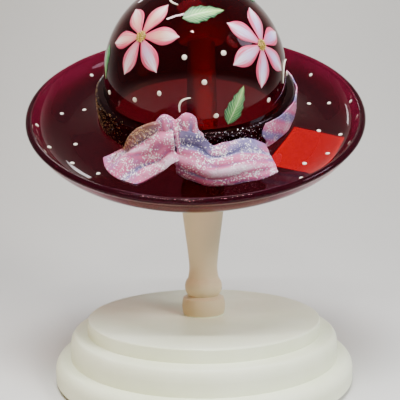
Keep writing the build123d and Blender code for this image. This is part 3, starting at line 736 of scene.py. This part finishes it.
# ---- Frosted end of the ribbon, lapped round the right of the band ----
def panel_place(along, across):
    turn = math.radians(38 + 90 * along + 1.6 * math.sin(across * 7) * (1 - along))
    height = BAND_BOTTOM + 1.6 + (BAND_TOP - BAND_BOTTOM - 3.2) * across
    radius = 70.75 + 0.55 * math.sin(across * math.pi) + 0.25 * math.sin(along * 31 + across * 4)
    return Vector((radius * math.sin(turn), -radius * math.cos(turn), height))


ribbon_end = grid_piece("band_ribbon_end", 90, 16, panel_place)
fold_shading = ribbon_end.data.attributes.new("fold_shading", "FLOAT", "POINT")
ribbon_end.data.attributes.new("painted_shade_and_gilt", "FLOAT", "POINT")
# Painted shade and highlight in bands along the lapped end, the same fold shading as on the tails
for vertex in ribbon_end.data.vertices:
    turn = math.atan2(vertex.co.x, -vertex.co.y)
    fold_shading.data[vertex.index].value = 0.5 + 0.3 * math.sin(turn * 16 + vertex.co.z / MM * 0.4)
finished(ribbon_end, "SOLIDIFY", thickness=0.8 * MM, offset=-1.0)
tidy_mesh(ribbon_end)
bpy.ops.object.shade_smooth_by_angle(angle=math.radians(50))
ribbon_end.data.materials.append(frosted)


# ---- Glitter: loose flakes on the bow and the band ----
def flakes(name, host, count, seed, wanted, mat):
    """Hexagonal flakes scattered over a piece, each tipped a little its own way."""
    chance = random.Random(seed)
    mesh = host.data
    mesh.calc_loop_triangles()
    corners = [[mesh.vertices[index].co for index in tri.vertices] for tri in mesh.loop_triangles]
    picks = chance.choices(corners, [tri.area for tri in mesh.loop_triangles], k=25 * count)
    points, faces = [], []
    for a, b, c in picks:
        if len(faces) >= 8 * count:
            break
        u, v = chance.random(), chance.random()
        if u + v > 1:
            u, v = 1 - u, 1 - v
        spot = a + (b - a) * u + (c - a) * v
        if not wanted(spot / MM, chance):
            continue
        out = (b - a).cross(c - a).normalized()
        tip = Vector([chance.uniform(-0.45, 0.45) for _ in range(3)])
        axis = (out + tip).normalized()
        first = axis.orthogonal().normalized() * chance.uniform(0.17, 0.32) * MM
        start = len(points)
        for level in (0.02, 0.14):
            for corner in range(6):
                points.append(spot + out * level * MM + Matrix.Rotation(corner * math.pi / 3, 3, axis) @ first)
        faces.append(tuple(range(start + 5, start - 1, -1)))
        faces.append(tuple(range(start + 6, start + 12)))
        for corner in range(6):
            after = (corner + 1) % 6
            faces.append((start + corner, start + after, start + 6 + after, start + 6 + corner))
    made = bpy.data.meshes.new(name)
    made.from_pydata(points, [], faces)
    piece = bpy.data.objects.new(name, made)
    bpy.context.collection.objects.link(piece)
    made.materials.append(mat)
    return piece


def facing_out(spot, chance):
    """Keeps flakes to the side that shows, and gathers them in drifts."""
    drift = noise.noise(spot * 0.17) * 2.4 + 0.2
    return spot.y < -58 and (spot.z > -27.5 or math.hypot(spot.x, spot.y) > 80) and chance.random() < drift


def band_side(low, high, thick):
    def wanted(spot, chance):
        turn = math.degrees(math.atan2(spot.x, -spot.y))
        middle, half = (low + high) / 2, (high - low) / 2
        near = 1 - abs(turn - middle) / half
        return near > 0 and chance.random() < thick * min(1, near * 3) and math.hypot(spot.x, spot.y) > 68
    return wanted


grains = joined([
    flakes("grains", left_tail, 480, 11, facing_out, silver),
    flakes("grains", right_tail, 640, 12, facing_out, silver),
    flakes("grains", knot, 260, 13, lambda spot, chance: spot.y < -70 and facing_out(spot, chance), silver),
    flakes("grains", ribbon_end, 380, 14, lambda spot, chance: math.hypot(spot.x, spot.y) > 70.6, silver),
    flakes("grains", band, 320, 15, band_side(4, 40, 0.9), silver),
], "silver_glitter_grains")
# Gold flakes only on the shaded left sides of the left tail and the band: gold glitter whose warmth there is also
# painted shade
gilt_grains_in_shade = joined([
    flakes("grains", left_tail, 420, 21, lambda spot, chance: facing_out(spot, chance)
           and chance.random() < (-20 - spot.x) / 20 and -52 < spot.x and spot.y > -74, gilt),
    flakes("grains", band, 560, 22, band_side(-105, -38, 0.9), gilt),
], "gold_glitter_grains_in_shade")

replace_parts(on_hat(band), "hat_band")
for piece, nodes in ((left_tail, ("bow_left_tail",)), (right_tail, ("bow_right_tail",)), (knot, ("bow_knot",)),
                     (ribbon_end, ("band_ribbon",)), (grains, ()), (gilt_grains_in_shade, ())):
    on_hat(piece)
    if nodes:
        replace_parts(piece, *nodes)

# ---- Enamel painting ----
PETALS = 6
BLOSSOMS = ((-42, 42, 21.0, 11.5, 20), (52, 34, 22.0, 12.0, 5))
LEAVES = ((11, 60, 8, 26.0, 12.5), (24, 7, 62, 25.0, 12.0), (-72, 18, -70, 22.0, 10.0), (94, 60, 120, 24.0, 11.0))


def stroke_piece(name, azimuth, elevation, turn, start, length, widths, row, rows, columns=26):
    """One brush stroke of enamel on the crown, thickest along its middle."""

    def place(along, across):
        half = smooth_through(widths, along)
        side = (across - 0.5) * 2
        lift = 0.22 + 0.3 * (1 - side ** 2) * math.sin(math.pi * (0.08 + 0.84 * along))
        return from_spot(azimuth, elevation, turn, start + along * length, side * half, lift)

    piece = grid_piece(name, columns, 14, place, uv=lambda u, v: (u, (row + 0.02 + 0.96 * v) / rows))
    finished(piece, "SOLIDIFY", thickness=0.16 * MM, offset=-1.0)
    return piece


strokes = []
for number, (azimuth, elevation, length, width, first) in enumerate(BLOSSOMS):
    for index in range(PETALS):
        widths = [width * share for share in (0.13, 0.26, 0.40, 0.49, 0.46, 0.30, 0.015)]
        strokes.append(stroke_piece("petal", azimuth, elevation, first + index * 360 / PETALS, 3.0, length + 0.9,
                                    widths, number * PETALS + index, 2 * PETALS))
petals = joined(strokes, "painted_petals")
# The first blossom's petals are peach, the second's lavender: the peach is painted warm light falling from the left
petals.data.materials.append(brushed_enamel("pink_and_lavender_enamel", (
    (0.0, "#dba692"), (0.25, "#e6bcae"), (0.5, "#b4a8de"), (0.75, "#cfc2ea"), (1.0, "#b9b3e4")),
    "#cc4468", "#f7f3f8", 2 * PETALS))

strokes = []
for index, (azimuth, elevation, turn, length, width) in enumerate(LEAVES):
    widths = [width * share for share in (0.01, 0.27, 0.40, 0.50, 0.43, 0.46, 0.33, 0.34, 0.20, 0.13, 0.005)]
    strokes.append(stroke_piece("leaf", azimuth, elevation, turn, -length / 2, length, widths, index, len(LEAVES),
                                columns=44))
leaves = joined(strokes, "painted_leaf_strokes")
leaves.data.materials.append(brushed_enamel("leaf_green_enamel", ((0.0, "#6cb552"), (0.5, "#4f9f55"), (1.0, "#7fc158")),
                                            "#14603c", "#a6d672", len(LEAVES), veined=True))

cream_enamel = dabbed_enamel("raised_cream_enamel", ("#e8dfc6", "#f4efdf", "#fbf8ee"), 700.0)


def bead(spot, out, size):
    """A domed dab of enamel, standing on the glass."""
    bpy.ops.object.select_all(action="DESELECT")
    bpy.ops.mesh.primitive_uv_sphere_add(segments=16, ring_count=10, radius=1)
    dab = bpy.context.object
    turn = out.to_track_quat("Z", "Y").to_matrix().to_4x4()
    dab.matrix_world = Matrix.Translation(spot * MM) @ turn @ Matrix.Diagonal([v * MM for v in size] + [1])
    bpy.ops.object.transform_apply(location=True, rotation=True, scale=True)
    bpy.ops.object.shade_smooth()
    return dab


chance = random.Random(5)
dabs = []
for azimuth, elevation in ((-6, 35), (6, 22), (-36, 8), (20, 36), (12, 3), (48, 3), (-20, 15), (-62, 3), (84, 4)):
    spot = from_spot(azimuth, elevation, 0, 0, 0, 0.25)
    out = from_spot(azimuth, elevation, 0, 0, 0, 1.25) - spot
    dabs.append(bead(spot, out, (1.55 * chance.uniform(0.85, 1.1), 1.55, 0.6)))
crown_dots = joined(dabs, "crown_enamel_dots")

dabs = []
for azimuth, share in ((-127, 0.85), (-94, 0.75), (-78, 0.93), (-66, 0.84), (-54, 0.74), (-68, 0.62), (-100, 0.58),
                       (-42, 0.66), (122, 0.88), (100, 0.78), (104, 0.62), (78, 0.62), (92, 0.95), (74, 0.80),
                       (60, 0.76), (50, 0.66), (40, 0.78), (150, 0.80), (180, 0.70), (-155, 0.72)):
    turn, reach = math.radians(azimuth), EQUATOR + share * BRIM_REACH
    spot = on_glass(turn, reach, 0.25)
    dabs.append(bead(spot, on_glass(turn, reach, 1.25) - spot, (1.5 * chance.uniform(0.85, 1.1), 1.5, 0.6)))
brim_dots = joined(dabs, "brim_enamel_dots")

# Blossom centres: a low cushion of enamel crowded with stamen dabs
cushions, dabs = [], []
for azimuth, elevation, length, width, first in BLOSSOMS:
    spot = from_spot(azimuth, elevation, 0, 0, 0, 0.3)
    out = from_spot(azimuth, elevation, 0, 0, 0, 1.3) - spot
    cushions.append(bead(spot, out, (3.5, 3.5, 0.9)))
    for index in range(34):
        turn, reach = index * 137.5, 0.62 * math.sqrt(index)
        lift = 1.05 - 0.05 * reach ** 2
        spot = from_spot(azimuth, elevation, turn, reach + 0.01, 0, lift)
        dabs.append(bead(spot, out, (0.42, 0.42, 0.4)))
cushion = joined(cushions, "blossom_cushions")
cushion.data.materials.append(dabbed_enamel("ochre_enamel", ("#4a3416", "#7a5a20", "#a9812e"), 600.0))
stamens = joined(dabs, "blossom_stamens")
stamens.data.materials.append(dabbed_enamel("yellow_and_green_enamel", ("#6f8a3a", "#d8b24a", "#f2e2a0"), 500.0))

# Stems: thin tapered lines of cream enamel
lines = []
for (az0, el0), (az1, el1), bow in (((-20, 65), (-40, 74), 0.06), ((66, 6), (82, 14), 0.10), ((-8, 6), (-2, 14), 0.05)):
    ends = []
    for azimuth, elevation in ((az0, el0), (az1, el1)):
        az, el = math.radians(azimuth), math.radians(elevation)
        ends.append(Vector((math.cos(el) * math.sin(az), -math.cos(el) * math.cos(az), math.sin(el))))
    data = bpy.data.curves.new("stem", "CURVE")
    data.dimensions = "3D"
    data.bevel_depth = 0.55 * MM
    data.bevel_resolution = 3
    data.use_fill_caps = True
    line = data.splines.new("NURBS")
    line.points.add(8)
    across = ends[0].cross(ends[1]).normalized()
    for index, point in enumerate(line.points):
        share = index / 8
        way = (ends[0].lerp(ends[1], share) + across * bow * 4 * share * (1 - share)).normalized()
        spot = on_glass(math.atan2(way.x, -way.y), CROWN_RADIUS * (math.pi / 2 - math.asin(way.z)), 0.6)
        point.co = (*(spot * MM), 1)
        point.radius = 0.45 + 0.65 * math.sin(math.pi * (0.15 + 0.75 * share))
    line.order_u = 4
    line.use_endpoint_u = True
    stem = bpy.data.objects.new("stem", data)
    bpy.context.collection.objects.link(stem)
    lone(stem)
    bpy.ops.object.convert(target="MESH")
    bpy.ops.object.shade_smooth()
    lines.append(bpy.context.object)
stems = joined(lines, "painted_stem_lines")

for piece, nodes, slot in (
    (petals, ("blossom_petals",), "petal_enamel"),
    (leaves, ("painted_leaves",), "leaf_enamel"),
    (crown_dots, ("crown_dots",), "cream_enamel"),
    (brim_dots, ("brim_dots",), "cream_enamel"),
    (cushion, ("blossom_centres",), "stamen_enamel"),
    (stamens, (), "stamen_enamel"),
    (stems, ("painted_stems",), "cream_enamel"),
):
    if slot == "cream_enamel":
        piece.data.materials.append(cream_enamel)
    tidy_mesh(piece, merge=0.002 * MM)
    on_hat(piece)
    if nodes:
        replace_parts(piece, *nodes)

# ---- Felt, screws and dowel ----
for mat, names in ((wool_felt(), ("felt_base", "felt_cap")), (zinc_steel(), ("spindle_screw", "base_screws")),
                   (bare_beech(), ("head_dowel",))):
    for name in names:
        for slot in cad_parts[name].material_slots:
            slot.material = mat
